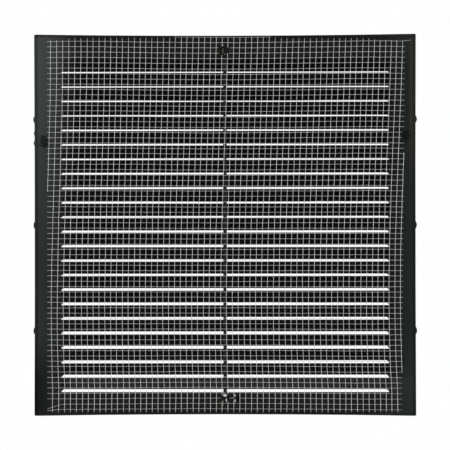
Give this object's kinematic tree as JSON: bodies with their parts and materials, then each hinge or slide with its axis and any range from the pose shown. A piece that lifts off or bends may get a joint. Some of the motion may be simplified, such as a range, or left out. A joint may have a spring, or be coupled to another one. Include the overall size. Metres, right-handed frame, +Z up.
{
  "type": "louvred ventilation grille",
  "caption": "Square moulded plastic wall grille with sloping louvres, a central web and a welded wire insect mesh melted onto its wall side.",
  "frame": {"origin": "middle of the grille's bounding box, half way between the wall plane and the louvre lips", "axes": "+X to the right as seen from the wall side, +Y outdoors away from the wall, +Z up with the louvres shedding rain downwards"},
  "size_m": [0.4026, 0.014, 0.4],
  "materials": {
    "louvre_panel": "black moulded plastic with a slight satin sheen",
    "wire_mesh": "dull galvanised steel wire"
  },
  "bodies": {
    "root": {"louvre_panel": "louvre_panel", "wire_mesh": "wire_mesh"}
  },
  "joints": []
}
